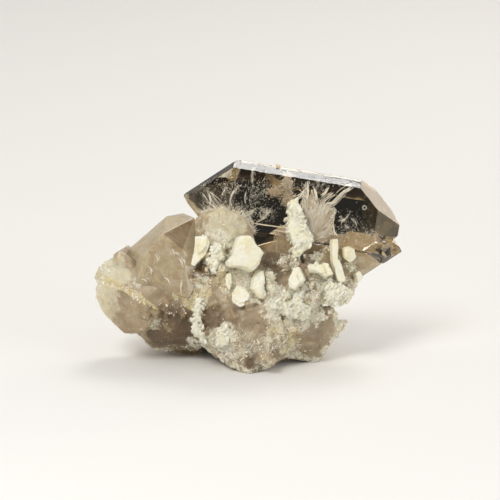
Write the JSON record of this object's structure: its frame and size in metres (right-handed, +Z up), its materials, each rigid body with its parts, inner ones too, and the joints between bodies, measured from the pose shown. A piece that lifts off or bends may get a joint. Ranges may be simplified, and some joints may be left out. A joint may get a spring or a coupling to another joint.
{
  "type": "smoky quartz with barite",
  "caption": "Hand specimen of intergrown smoky quartz with a clear doubly pointed crystal on top and white tabular barite crystals seated across its front.",
  "frame": {"origin": "on the resting surface, under the middle of the specimen's footprint", "axes": "+Z up as the specimen rests, -Y the front with the barite, +X to the right along the clear crystal's longer side"},
  "size_m": [0.0403, 0.0206, 0.0256],
  "materials": {
    "smoky_quartz": "glassy crystal faces, frosted where broken",
    "clear_quartz": "clear, polished by nature",
    "barite": "satin white"
  },
  "bodies": {
    "root": {"quartz_cluster": "smoky_quartz", "barite_front_block": "barite", "barite_left_blade": "barite", "barite_tall_blade": "barite", "barite_small_pair": "barite", "barite_standing_blade": "barite", "barite_round_tablet": "barite", "barite_diamond_tablet": "barite", "barite_centre_blade": "barite", "barite_lower_block": "barite", "barite_upper_column": "barite", "barite_splinter": "barite", "barite_right_cluster": "barite", "barite_middle_cluster": "barite", "barite_lower_left_rim": "barite", "barite_foot_blade": "barite", "barite_right_chip": "barite"}
  },
  "joints": []
}
